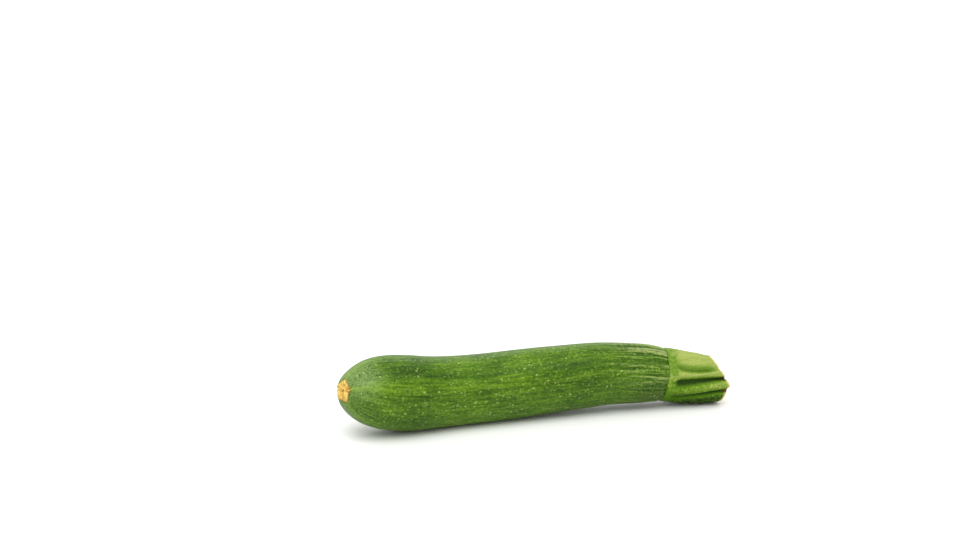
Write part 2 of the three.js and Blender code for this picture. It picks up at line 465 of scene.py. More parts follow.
@dataclass(frozen=True)
class FruitSkin:
    """Waxy green skin with lengthwise streaks, rows of pale flecks, a striped shoulder and a corky scar, with
    a painted sheen on top of the tip and shoulder and painted shade under the shoulder.
    """

    dark: Colour = tint(38, 68, 2)
    green: Colour = tint(66, 103, 6)
    light: Colour = tint(102, 136, 26)
    fleck: Colour = tint(160, 182, 92)
    # stripe is partly a real pale stripe and partly painted sheen; shade is both the dark stripes and painted
    # shade.
    stripe_and_sheen: Colour = tint(158, 172, 102)
    dark_stripe_and_shade: Colour = tint(30, 56, 2)
    # bloom: partly the real bloom's colour and partly a painted sheen.
    bloom_and_sheen: Colour = tint(126, 150, 90)
    spoke: Colour = tint(142, 176, 58)
    cork: Colour = tint(240, 212, 120)
    ochre: Colour = tint(214, 168, 78)
    crack: Colour = tint(108, 70, 24)
    shoulder: Span = (130.0, 162.0)
    tip: Span = (16.0, 1.0)
    upper_side: Span = (-6.0, 7.0)
    under_side: Span = (1.0, -10.0)
    powdered: Span = (0.42, 0.82)
    fleck_rows: Span = (0.45, 0.58)
    grainy: Span = (0.62, 0.85)
    pale_stripes: Span = (-0.3, 0.8)
    dark_stripes: Span = (-0.15, -0.7)
    spoke_streaks: Span = (0.4, 0.85)
    skin_start: Span = (-0.12, 0.12)
    ochre_patches: Span = (0.5, 0.8)
    cracks: Span = (0.57, 0.68)
    open_splits: Span = (0.55, 0.61)
    brown_edge_and_shade: Span = (-0.75, -0.1)
    streak_width: float = 1.1
    band_width: float = 4.5
    mottle_size: float = 0.95
    blotch_size: float = 16.0
    fleck_spacing: float = 2.1
    fleck_row_width: float = 2.6
    speck_spacing: float = 1.3
    crumb_size: float = 0.7
    cork_patch_size: float = 3.0
    split_width: float = 3.5
    split_span: Span = (-4.4, -1.5)
    pit_span: Span = (-3.5, -4.4)
    wax_patch_size: float = 6.0
    streak_depth: float = 0.11
    mottle_depth: float = 0.07
    crumb_depth: float = 0.35
    under_shade: float = 0.7
    speck_strength: float = 0.28
    crack_strength: float = 0.35
    split_strength: float = 0.6
    pit_strength: float = 0.75
    edge_crack_and_shade: float = 0.5
    roughness: float = 0.34
    rougher_wax: float = 0.16
    rougher_flecks: float = 0.08
    rougher_cork: float = 0.4
    shine: float = 0.14
    wax_coat: float = 0.06
    wax_roughness: float = 0.22

    def material(self) -> bpy.types.Material:
        """The finish as a material."""
        board = Board("courgette_skin")
        grain = self._grain(board)
        flecks = self._flecks(board)
        skin = self._streaked(board, grain)
        skin = self._shouldered(board, grain, skin)
        powdery = board.step(grain.mottle + 0.4 * grain.streaks, *self.powdered)
        # Bloom on the tip: partly real powdery bloom and partly a painted sheen, which is stronger on the
        # upper side.
        bloom_and_sheen = board.step(grain.along, *self.tip) * (0.15 + 0.65 * grain.upper) * powdery
        skin = board.mix(bloom_and_sheen, skin, self.bloom_and_sheen)
        skin = board.mix(flecks * (0.72 - 0.35 * grain.shoulder), skin, self.fleck)
        specks = board.spots(board.place("place", 0.7), self.speck_spacing, 0.2, 0.3)
        skin = board.mix(self.speck_strength * specks, skin, self.fleck)
        spokes = board.number("spoke") * board.step(grain.streaks + 0.3 * grain.mottle, *self.spoke_streaks)
        skin = board.mix(spokes, skin, self.spoke)

        splits = board.noise(board.place("grain", 0.3), self.split_width, 3.0, 0.6)
        splits = board.step(splits, *self.open_splits) * board.step(grain.to_scar, *self.split_span)
        on_skin = board.step(grain.to_scar + 0.25 * (grain.crumble - 0.5), *self.skin_start)
        wax = board.noise(board.place("place", 0.4), self.wax_patch_size)
        rough = self.roughness + self.rougher_wax * wax + self.rougher_flecks * flecks
        normal = board.bump(grain.streaks, self.streak_depth)
        normal = board.bump(grain.mottle + 0.5 * flecks, self.mottle_depth, normal)
        normal = board.bump((grain.crumble - 0.6 * splits) * (1 - on_skin), self.crumb_depth, normal)
        return board.finish({
            "Base Color": board.mix(on_skin, self._corky(board, grain, splits), skin),
            "Roughness": rough + self.rougher_cork * (1 - on_skin),
            "Normal": normal,
            "Coat Weight": self.wax_coat * on_skin,
            "Coat Roughness": self.wax_roughness,
            "Specular IOR Level": self.shine,
        })

    def _grain(self, board: Board) -> SkinGrain:
        """The shared patterns on this board."""
        place = board.place("place")
        along = board.axis(place, "X")
        return SkinGrain(
            along=along,
            streaks=board.noise(board.place("grain", 0.08), self.streak_width, 4.0, 0.6),
            mottle=board.noise(board.place("place", 0.6), self.mottle_size, 4.0, 0.65),
            crumble=board.noise(place, self.crumb_size, 4.0, 0.7),
            # upper: 1 on top and 0 below; it places the painted sheen and the painted shade.
            upper=board.step(board.axis(place, "Z"), *self.upper_side),
            shoulder=board.step(along, *self.shoulder),
            to_scar=board.number("scar"),
        )

    def _flecks(self, board: Board) -> Flow:
        """Pale round flecks, which stand in loose rows."""
        rows = board.noise(board.place("grain", 0.06), self.fleck_row_width, 1.0)
        flecks = board.spots(board.place("place", 0.75), self.fleck_spacing, 0.16, 0.18)
        return flecks * board.step(rows, *self.fleck_rows)

    def _streaked(self, board: Board, grain: SkinGrain) -> Flow:
        """The green under everything else: fine streaks and mottling, with broader bands and blotches."""
        bands = board.noise(board.place("grain", 0.025), self.band_width, 2.0)
        blotches = board.noise(board.place("place", 0.6), self.blotch_size, 2.0)
        tone = 0.36 * grain.streaks + 0.2 * bands + 0.44 * grain.mottle + 0.25 * (blotches - 0.5)
        return board.ramp(tone, ((0.385, self.dark), (0.5, self.green), (0.625, self.light)))

    def _shouldered(self, board: Board, grain: SkinGrain, skin: Flow) -> Flow:
        """Pale and dark stripes on the shoulder, with painted highlight that makes the pale stripes stronger
        on top, and painted shade that darkens the lower side.

        Args:
            board: The skin's board.
            grain: Its shared patterns.
            skin: The skin's colour so far.

        Returns:
            The colour with the stripes, the painted highlight and the painted shade on it.
        """
        stripes = 0.9 * board.number("flute") + 3.4 * (grain.streaks - 0.5) + 1.2 * (grain.mottle - 0.5)
        height = board.axis(board.place("place"), "Z")
        # Painted shade: the lower side of the shoulder is darkened, as if out of the light.
        under = board.step(height, *self.under_side)
        skin = board.mix(self.under_shade * grain.shoulder * under, skin, self.dark_stripe_and_shade)
        grainy = 0.45 + 0.55 * board.step(grain.mottle + 0.5 * grain.streaks, *self.grainy)
        # The pale stripes are partly painted highlight: strong on top and faint below.
        pale = grain.shoulder * (0.06 + 0.84 * grain.upper) * board.step(stripes, *self.pale_stripes) * grainy
        skin = board.mix(pale, skin, self.stripe_and_sheen)
        # The dark stripes are partly painted shade: stronger below than on top.
        dark = grain.shoulder * (0.7 - 0.3 * grain.upper) * board.step(stripes, *self.dark_stripes)
        return board.mix(dark, skin, self.dark_stripe_and_shade)

    def _corky(self, board: Board, grain: SkinGrain, splits: Flow) -> Flow:
        """The scar's colour: pale and ochre cork with brown splits, a dark pit, and a brown edge that is
        partly a real crack and partly painted shade.

        Args:
            board: The skin's board.
            grain: Its shared patterns.
            splits: 1 in the splits that run in from the edge.

        Returns:
            The colour.
        """
        patches = board.noise(board.place("place"), self.cork_patch_size, 2.0)
        patchy = board.step(patches + 0.35 * grain.crumble, *self.ochre_patches)
        cork = board.mix(patchy, self.cork, self.ochre)
        cracked = board.step(grain.crumble, *self.cracks)
        cork = board.mix(self.crack_strength * cracked, cork, self.crack)
        cork = board.mix(self.split_strength * splits, cork, self.crack)
        pit = board.step(grain.to_scar + 0.8 * grain.crumble, *self.pit_span)
        cork = board.mix(self.pit_strength * pit, cork, self.crack)
        # Brown round the scar's edge: partly a real crack and partly painted shade in the step.
        edge = board.step(grain.to_scar + 0.7 * (grain.crumble - 0.5), *self.brown_edge_and_shade)
        return board.mix(self.edge_crack_and_shade * edge, cork, self.crack)


@dataclass(frozen=True)
class StalkRind:
    """Matt fibrous rind: pale crests and a pale top that are partly painted highlight, a dark underside and
    dark grooves that are painted shade, a smooth bright collar, bristles and a tan rim.
    """

    # deep is the painted shade of the underside and the grooves; crest is the pale ridges, lighter on top as
    # painted highlight.
    deep: Colour = tint(26, 54, 2)
    low: Colour = tint(94, 130, 16)
    crest_and_highlight: Colour = tint(154, 168, 84)
    collar: Colour = tint(80, 124, 4)
    bristle: Colour = tint(180, 196, 92)
    rim: Colour = tint(210, 194, 126)
    scorch: Colour = tint(84, 58, 24)
    fibre_width: float = 1.0
    strand_width: float = 3.2
    mottle_size: float = 0.9
    cloud_size: float = 4.0
    knob_size: float = 1.5
    thin_fibres: Span = (0.52, 0.4)
    yellow_patches: Span = (0.46, 0.66)
    highlit_top: Span = (0.0, 0.5)
    green_groove: Span = (0.08, 0.4)
    deep_groove: Span = (0.4, 0.95)
    flank_top: Span = (0.75, 0.5)
    flank_foot: Span = (0.05, 0.25)
    flank_ridges: Span = (0.5, 0.2)
    knobbly: Span = (0.48, 0.64)
    bristles_shaded_below: Span = (0.02, 0.3)
    scorched_groove: Span = (0.3, 0.7)
    collar_reach: Span = (6.5, 2.0)
    rim_reach: Span = (1.6, 0.6)
    scorch_reach: Span = (3.0, 1.2)
    fibre_depth: float = 0.28
    mottle_depth: float = 0.16
    shine: float = 0.13

    def material(self) -> bpy.types.Material:
        """The finish as a material."""
        board = Board("stalk_rind")
        fibres = board.noise(board.place("place", 0.06), self.fibre_width, 4.0, 0.65)
        strands = board.noise(board.place("place", 0.04), self.strand_width, 2.0)
        mottle = board.noise(board.place("place", 0.6), self.mottle_size, 4.0, 0.6)
        clouds = board.noise(board.place("place"), self.cloud_size)
        knobs = board.noise(board.place("place"), self.knob_size, 2.0)
        lift, groove = board.number("lift"), board.number("groove")

        # Painted light: the rind is paler on top and darker underneath, by how far each point faces up.
        height = lift + 0.3 * (strands - 0.5) + 0.5 * (mottle - 0.5)
        rind = board.ramp(height, ((0.02, self.deep), (0.24, self.low), (0.75, self.crest_and_highlight)))
        rind = board.mix(0.3 * board.step(fibres, *self.thin_fibres), rind, self.collar)
        from_seat = board.number("collar") + 7.0 * (mottle - 0.5) + 6.0 * (clouds - 0.5)
        on_collar = board.step(from_seat, *self.collar_reach)
        rind = board.mix(0.85 * on_collar, rind, self.collar)
        # Pale patches on the collar, kept to the top as painted highlight.
        yellowed_and_highlit = board.step(mottle + 0.8 * (clouds - 0.5), *self.yellow_patches)
        yellowed_and_highlit = yellowed_and_highlit * board.step(lift, *self.highlit_top)
        rind = board.mix(0.6 * on_collar * yellowed_and_highlit, rind, self.crest_and_highlight)
        # Painted shade in the grooves: mid green where shallow, dark where deep.
        shadow = groove + 0.4 * (mottle - 0.5)
        rind = board.mix(0.8 * board.step(shadow, *self.green_groove), rind, self.collar)
        rind = board.mix(0.9 * board.step(shadow, *self.deep_groove), rind, self.deep)
        flank = board.step(lift, *self.flank_top) * board.step(lift, *self.flank_foot)
        flank = flank * board.step(groove, *self.flank_ridges)
        rind = board.mix(0.4 * flank * board.step(knobs, *self.knobbly), rind, self.bristle)
        # Painted shade: pale bristles are dimmer on the underside.
        bristled = board.number("bristle") * (0.15 + 0.4 * board.step(lift, *self.bristles_shaded_below))
        rind = board.mix(bristled, rind, self.bristle)
        to_cut = board.number("to_cut") + 2.0 * (mottle - 0.5)
        rind = board.mix(0.85 * board.step(to_cut, *self.rim_reach), rind, self.rim)
        scorched = board.step(to_cut, *self.scorch_reach) * board.step(groove, *self.scorched_groove)
        rind = board.mix(0.85 * scorched, rind, self.scorch)

        normal = board.bump(fibres, self.fibre_depth)
        normal = board.bump(mottle + 1.2 * knobs, self.mottle_depth, normal)
        return board.finish({
            "Base Color": rind,
            "Roughness": 0.5 + 0.2 * mottle,
            "Normal": normal,
            "Specular IOR Level": self.shine,
        })


@dataclass(frozen=True)
class CutFlesh:
    """The cut face: a pale crisp rim, ochre fibres, a ring of bundles, and dark dried hollows."""

    rim: Colour = tint(228, 220, 158)
    ochre: Colour = tint(190, 178, 92)
    olive: Colour = tint(146, 144, 62)
    hollow: Colour = tint(74, 62, 28)
    bundle: Colour = tint(216, 206, 140)
    dried: Colour = tint(142, 122, 88)
    fibre_size: float = 0.45
    cloud_size: float = 3.0
    olive_patches: Span = (0.4, 0.6)
    pores: Span = (0.58, 0.7)
    dried_patches: Span = (0.6, 0.7)
    bundle_fibres: Span = (0.3, 0.6)
    hollow_edge: Span = (0.1, 0.95)
    rim_start: Span = (0.8, 0.9)
    fibre_depth: float = 0.35
    shine: float = 0.4

    def material(self) -> bpy.types.Material:
        """The finish as a material."""
        board = Board("stalk_cut")
        fibres = board.noise(board.place("face"), self.fibre_size, 4.0, 0.7)
        clouds = board.noise(board.place("face"), self.cloud_size)
        olive = board.step(clouds + 0.4 * (fibres - 0.5), *self.olive_patches)
        flesh = board.mix(olive, self.ochre, self.olive)
        flesh = board.mix(0.5 * board.step(fibres, *self.pores), flesh, self.hollow)
        flesh = board.mix(0.4 * board.step(clouds, *self.dried_patches), flesh, self.dried)
        bundles = board.number("bundle") * board.step(fibres, *self.bundle_fibres)
        flesh = board.mix(bundles, flesh, self.bundle)
        hollows = board.step(board.number("hollow") + 0.3 * (fibres - 0.5), *self.hollow_edge)
        flesh = board.mix(hollows, flesh, self.hollow)
        outward = board.number("outward") + 0.1 * (clouds - 0.5)
        flesh = board.mix(board.step(outward, *self.rim_start), flesh, self.rim)
        return board.finish({
            "Base Color": flesh,
            "Roughness": 0.55 + 0.25 * fibres,
            "Normal": board.bump(fibres, self.fibre_depth),
            "Specular IOR Level": self.shine,
        })


@dataclass(frozen=True)
class TableTop:
    """A plain pale satin table, painted a little lighter far away as a stand-in for brighter light there."""

    near: Colour = tint(246, 246, 244)
    far: Colour = tint(254, 253, 253)
    lighter: Span = (0.4, 2.6)
    grain_size: float = 0.004
    shine: float = 0.3

    def material(self) -> bpy.types.Material:
        """The finish as a material."""
        board = Board("table_top")
        place = board.node("ShaderNodeTexCoord", {}, {}, "Object")
        reach = board.node("ShaderNodeVectorMath", {"operation": "LENGTH"}, {0: place}, "Value")
        return board.finish({
            # Painted light: the table grows lighter far away.
            "Base Color": board.mix(board.step(reach, *self.lighter), self.near, self.far),
            "Roughness": 0.42 + 0.06 * board.noise(place, self.grain_size),
            "Specular IOR Level": self.shine,
        })


# ---- fruit ----


@dataclass(frozen=True)
class Scar:
    """The five-cornered corky scar where the blossom fell off, and the skin that swells round it."""

    radius: float = 5.1
    points: float = 0.05
    edge_waves: Ripples = Ripples(11, 0.9)
    unevenness: float = 0.06
    boss: float = 0.55
    crumbs: Ripples = Ripples(12, 1.2)
    crumble: float = 0.2
    pit: float = 0.45
    pit_radius: float = 0.8
    ring: float = 0.16
    ring_inside: float = 1.1
    ring_width: float = 0.5
    edge: float = 0.22
    moat: float = 0.3
    lobes: float = 0.42
    lobe_reach: float = 2.2
    spoke_height: float = 0.22
    spoke_reach: float = 5.0
    spoke_sharpness: float = 3.0

    def beyond(self, radius: np.ndarray, corner: np.ndarray, degrees: np.ndarray) -> np.ndarray:
        """Distance outside the scar's edge, less than 0 inside.

        Args:
            radius: Distance from the scar's middle.
            corner: 1 towards a corner, and -1 between two.
            degrees: Angles round the middle.

        Returns:
            The distances in millimetres.
        """
        uneven = self.edge_waves.at(around(degrees, np.zeros_like(degrees), 1.0))
        return radius - self.radius * (1 + self.points * corner + self.unevenness * uneven)

    def face(
        self,
        dome: np.ndarray,
        radius: np.ndarray,
        beyond: np.ndarray,
        corner: np.ndarray,
        place: np.ndarray,
    ) -> np.ndarray:
        """How far along the courgette its blossom end lies at each point.

        Args:
            dome: Where the bare dome lies.
            radius: Distance from the scar's middle.
            beyond: Distance outside the scar's edge.
            corner: 1 towards a corner, and -1 between two.
            place: Straightened places, for the crumbled surface.

        Returns:
            The places along, in millimetres.
        """
        cork = -self.boss - self.crumble * self.crumbs.at(place)
        cork = cork + self.pit * np.exp(-((radius / self.pit_radius) ** 2))
        cork = cork - self.ring * np.exp(-(((beyond + self.ring_inside) / self.ring_width) ** 2))
        out = np.maximum(beyond, 0.0)
        swell = self.lobes * (1 - corner) / 2 * np.exp(-out / self.lobe_reach)
        ridge = np.maximum(corner, 0.0) ** self.spoke_sharpness
        spoke = self.spoke_height * ridge * np.exp(-out / self.spoke_reach)
        moat = self.moat * np.exp(-((beyond / self.edge) ** 2))
        return cork + (dome - swell - spoke - cork) * ease(beyond, -self.edge, self.edge) + moat


@dataclass(frozen=True)
class Fruit:
    """The fruit's body, from its blossom scar to the stalk seat."""

    line: CentreLine
    skin: FruitSkin = FruitSkin()
    scar: Scar = Scar()
    belly_radius: float = 18.3
    dome_length: float = 35.0
    dome_bluntness: float = 3.1
    scar_radius: float = 5.0
    end_face: Span = (12.0, 9.0)
    body_radii: Stations = Stations((
        (35, 18.3), (50, 17.3), (76, 16.8), (104, 16.6), (126, 16.1),
        (142, 15.2), (156, 14.5), (163, 13.5), (166, 12.8),
    ))
    rib_heights: Stations = Stations(((0, 0.3), (30, 0.15), (120, 0.2), (156, 0.4), (166, 0.5)))
    ribs: int = 5
    first_rib: float = 18.0
    grain_radius: float = 17.0
    coarse_flutes: Ripples = Ripples(21, 5.0, scale=(0.03, 1, 1))
    coarse_share: float = 0.3
    fine_flutes: Ripples = Ripples(22, 2.4, scale=(0.04, 1, 1))
    fine_share: float = 0.75
    flute_height: float = 0.36
    flute_start: Span = (128.0, 160.0)
    waves: Ripples = Ripples(23, 34.0, scale=(0.7, 1, 1))
    wave_height: float = 0.3
    wave_start: Span = (4.0, 14.0)
    wrinkles: Ripples = Ripples(24, 2.4, scale=(0.1, 1, 1))
    wrinkle_height: float = 0.05
    wrinkle_start: Span = (6.0, 14.0)
    tip_wrinkles: Ripples = Ripples(25, 3.6, scale=(0.2, 1, 1))
    tip_wrinkle_height: float = 0.1
    tip_wrinkle_start: Span = (0.2, 1.5)
    tip_wrinkle_reach: float = 7.0
    seat_relief: float = 0.4
    seat_relief_run: float = 4.0
    spoke_colour_reach: float = 6.0
    spoke_sharpness: float = 6.0
    spoke_start: Span = (-0.2, 0.4)
    scar_neighbourhood: float = 20.0
    outline_samples: tuple[int, int] = (600, 900)
    fine_spacing: float = 0.16
    spacing: float = 0.65
    fine_until: Span = (9.0, 18.0)
    sides: int = 288
    seat_shares: tuple[float, ...] = (0.93, 0.7, 0.35)
    close_up: float = 1.6
    close_up_radius: float = 9.0

    def outline(self) -> tuple[np.ndarray, np.ndarray]:
        """The bare outline at every ring.

        Returns:
            The rings' places along the courgette, and their radii.
        """
        dome_samples, body_samples = self.outline_samples
        turn = np.linspace(0, math.pi / 2, dome_samples)
        pole = (1 - (self.scar_radius / self.belly_radius) ** 2) ** (1 / self.dome_bluntness)
        dome = self.dome_length * (1 - np.cos(turn) ** (2 / self.dome_bluntness) / pole)
        body = np.linspace(self.dome_length, self.line.seat, body_samples)[1:]
        along = np.concatenate([dome, body])
        radius = np.concatenate([self.belly_radius * np.sin(turn), self.body_radii.at(body)])
        reach = np.concatenate([[0], np.cumsum(np.hypot(np.diff(along), np.diff(radius)))])
        gaps = self.fine_spacing + (self.spacing - self.fine_spacing) * ease(reach, *self.fine_until)
        steps = np.concatenate([[0], np.cumsum(np.diff(reach) / gaps[1:])])
        wanted = np.linspace(1, steps[-1], round(steps[-1]))
        at = np.interp(wanted, steps, reach)
        return np.interp(at, reach, along), np.interp(at, reach, radius)

    def ribbed(self, along: np.ndarray, radius: np.ndarray, degrees: np.ndarray) -> np.ndarray:
        """The radius with its five soft ribs, which fade out on the scar."""
        fade = np.clip(radius / self.scar_radius, 0.0, 1.0)
        return radius + fade * self.rib_heights.at(along) * self._corner(degrees)

    def _corner(self, degrees: np.ndarray) -> np.ndarray:
        """1 on a rib, where the scar has a corner, and -1 between two."""
        return np.cos(np.radians(self.ribs * (degrees - self.first_rib)))

    def frame_shift(self) -> np.ndarray:
        """From the courgette's own measure to the model's frame.

        Returns:
            The shift in millimetres, from the box of the fruit's CAD solid.
        """
        along, radius = (values[:, None] for values in self.outline())
        degrees = np.arange(0.0, 360.0, 5.0)[None, :]
        ribbed = self.ribbed(along, radius, degrees)
        points = self.line.skin(along + 0 * degrees, ribbed, degrees + 0 * along)
        middle = (points.max(axis=(0, 1)) + points.min(axis=(0, 1))) / 2
        low, high = (np.array(corner) * MM_PER_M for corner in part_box("fruit"))
        return np.array([*((low + high) / 2 - middle)[:2], 0.0])

    def build(self, shift: np.ndarray) -> bpy.types.Object:
        """Makes the fruit.

        Args:
            shift: From the courgette's own measure to the model's frame.

        Returns:
            The piece.
        """
        along, radius = self.outline()
        slope = np.gradient(radius) / np.hypot(np.gradient(along), np.gradient(radius))
        along, radius, slope = (np.repeat(v[:, None], self.sides, axis=1) for v in (along, radius, slope))
        degrees = np.broadcast_to(UNDERSIDE + 360 * np.arange(self.sides) / self.sides, along.shape)
        place, grain = around(degrees, along, radius), around(degrees, along, self.grain_radius)
        corner = self._corner(degrees)
        beyond = self.scar.beyond(radius, corner, degrees)
        out = np.maximum(beyond, 0.0)

        coarse, fine = self.coarse_flutes.at(grain), self.fine_flutes.at(grain)
        flute = self.coarse_share * coarse + self.fine_share * fine
        relief = self.flute_height * flute * ease(along, *self.flute_start)
        relief += self.wave_height * self.waves.at(grain) * ease(radius, *self.wave_start)
        relief += self.wrinkle_height * self.wrinkles.at(grain) * ease(radius, *self.wrinkle_start)
        near_tip = np.exp(-out / self.tip_wrinkle_reach) * ease(beyond, *self.tip_wrinkle_start)
        relief += self.tip_wrinkle_height * self.tip_wrinkles.at(grain) * near_tip
        from_seat = ease(self.line.seat - along, 0.0, self.seat_relief_run)
        relief *= self.seat_relief + (1 - self.seat_relief) * from_seat

        on_end = ease(radius, *self.end_face) * (along < self.dome_length)
        end = self.scar.face(along, radius, beyond, corner, place)
        skin_along = along + (end - along) * on_end - relief * slope
        skin_radius = self.ribbed(along, radius, degrees) + relief * np.sqrt(1 - np.clip(slope, -1, 1) ** 2)
        seat_radii = np.array(self.seat_shares)[:, None] * skin_radius[-1]
        seat_count = len(seat_radii)
        seat = self.line.skin(np.full_like(seat_radii, self.line.seat), seat_radii, degrees[:seat_count])
        rings = np.concatenate([self.line.skin(skin_along, skin_radius, degrees), seat])

        spoke = np.maximum(corner, 0.0) ** self.spoke_sharpness * np.exp(-out / self.spoke_colour_reach)
        spoke *= ease(beyond, *self.spoke_start)
        from_scar = np.minimum(beyond, self.scar_neighbourhood)
        facts = {"place": place, "grain": grain, "scar": from_scar, "flute": flute, "spoke": spoke}
        facts = {name: np.concatenate([v, np.repeat(v[-1:], seat_count, axis=0)])
                 for name, v in facts.items()}
        middles = tuple(self.line.at(np.array(at)) for at in (self.scar.pit - self.scar.boss, self.line.seat))
        piece = ClosedSkin("ribbed_fruit", rings, middles, self._rows(len(rings)), facts).build(shift)
        piece.data.materials.append(self.skin.material())
        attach(piece, Body.WHOLE.value)
        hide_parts("fruit")
        return piece

    def _rows(self, rings: int) -> np.ndarray:
        """The rows of the bake map: near the scar they take more than their length."""
        along, radius = self.outline()
        gaps = np.hypot(np.diff(along), np.diff(radius))
        gaps *= np.where(radius[1:] < self.close_up_radius, self.close_up, 1.0)
        reach = 1.0 + np.concatenate([[0], np.cumsum(gaps)])
        seat = reach[-1] + np.arange(1, rings - len(along) + 2)
        return np.concatenate([[0], reach, seat])


# ---- stalk ----


@dataclass(frozen=True)
class Groove:
    """One groove of the stalk, from its angle at the collar to its angle at the cut."""

    start: float
    end: float
    bowed: float
    depth: float
    half_width: float
    wider_below: float = 1.0
    wider_above: float = 1.0
    narrowing: float = 0.0
    rush: float = 1.0
    left_at_cut: float = 1.0
    fading: Span = (0.62, 0.78)
    roundness: float = 1.6

    def depth_at(self, way: np.ndarray, degrees: np.ndarray) -> np.ndarray:
        """How deep it is.

        Args:
            way: 0 at the collar and 1 at the cut.
            degrees: Angles round the stalk.

        Returns:
            The depths in millimetres.
        """
        swing = self.bowed * np.sin(math.pi * np.clip(way, 0, 1) ** self.rush)
        above = (degrees - self.start - (self.end - self.start) * way - swing + 180) % 360 - 180
        width = self.half_width * np.where(above > 0, self.wider_above, self.wider_below)
        width = width * (1 + self.narrowing * (0.5 - way))
        left = 1 - (1 - self.left_at_cut) * ease(way, *self.fading)
        return self.depth * left * np.exp(-(np.abs(above / width) ** self.roundness))


@dataclass(frozen=True)
class Cluster:
    """Round spots on a ring of the cut face."""

    count: int
    ring: float
    turn: float
    size: float
    roundness: float = 1.0
    spread: float = 0.0

    def at(self, x: np.ndarray, y: np.ndarray) -> np.ndarray:
        """How much of a spot each place is in, from 0 to about 1."""
        total = np.zeros_like(x)
        for k in range(self.count):
            angle = 2 * math.pi * k / self.count + self.turn
            size = self.size + self.spread * math.sin(3 * k)
            away = (x - self.ring * math.cos(angle)) ** 2 + (y - self.ring * math.sin(angle)) ** 2
            total += np.exp(-((away / size**2) ** self.roundness))
        return total


@dataclass(frozen=True)
class CutFace:
    """The cut's relief: a crisp rim, and a sunk middle with bundles, hollows and a three-armed split."""

    radius: float = 10.0
    outermost: float = 0.985
    innermost: float = 0.02
    hollows: Cluster = Cluster(5, 4.1, 0.4, 1.3, roundness=1.5, spread=0.3)
    hollow_share: float = 0.4
    hollow_depth: float = 0.7
    bundles: Cluster = Cluster(10, 6.9, 0.1, 0.85)
    bundle_height: float = 0.3
    arms: int = 3
    arm_turn: float = 0.9
    arm_length: float = 2.1
    split_radius: float = 0.8
    split_depth: float = 0.9
    sunk: float = 0.45
    sunk_start: Span = (0.9, 0.8)
    lip_height: float = 0.2
    lip_place: float = 0.92
    lip_width: float = 0.05
    grit: Ripples = Ripples(41, 1.5, scale=(1, 1, 0))
    grit_height: float = 0.14
    swells: Ripples = Ripples(42, 7.0, scale=(1, 1, 0))
    swell_height: float = 0.3
    rough_start: Span = (1.0, 0.9)

    def rings(
        self, rim: np.ndarray, columns: np.ndarray, count: int
    ) -> tuple[np.ndarray, dict[str, np.ndarray]]:
        """The cut face, from its rim inwards.

        Args:
            rim: The side's last ring.
            columns: The angle of each column at the collar.
            count: How many rings there are.

        Returns:
            The rings, and the facts of their points.
        """
        middle = rim.mean(axis=0)
        spokes = rim - middle
        normal = np.cross(spokes, np.roll(spokes, -1, axis=0)).sum(axis=0)
        normal /= -np.linalg.norm(normal)
        outward = np.linspace(self.outermost, self.innermost, count)[:, None]
        angle = np.radians(columns)[None, :]
        away = self.radius * outward
        x, y = away * np.cos(angle), away * np.sin(angle)
        face = np.stack(np.broadcast_arrays(x, y, outward), axis=-1)
        arm = np.maximum(np.cos(self.arms * angle - self.arm_turn), 0.0) ** 2
        split = np.exp(-((away / (self.split_radius + self.arm_length * arm)) ** 2))
        hollow = np.clip(self.hollow_share * self.hollows.at(x, y) + split, 0, 1)
        bundle = self.bundles.at(x, y)
        rough = self.grit_height * self.grit.at(face) + self.swell_height * self.swells.at(face)
        height = self.lip_height * np.exp(-(((outward - self.lip_place) / self.lip_width) ** 2))
        height = height + self.bundle_height * bundle + rough * ease(outward, *self.rough_start)
        height = height - self.sunk * ease(outward, *self.sunk_start)
        height = height - self.hollow_depth * hollow - self.split_depth * split
        points = middle + spokes[None] * outward[..., None] - normal * height[..., None]
        return points, {"face": face, "hollow": hollow, "bundle": bundle, "outward": outward + 0 * x}


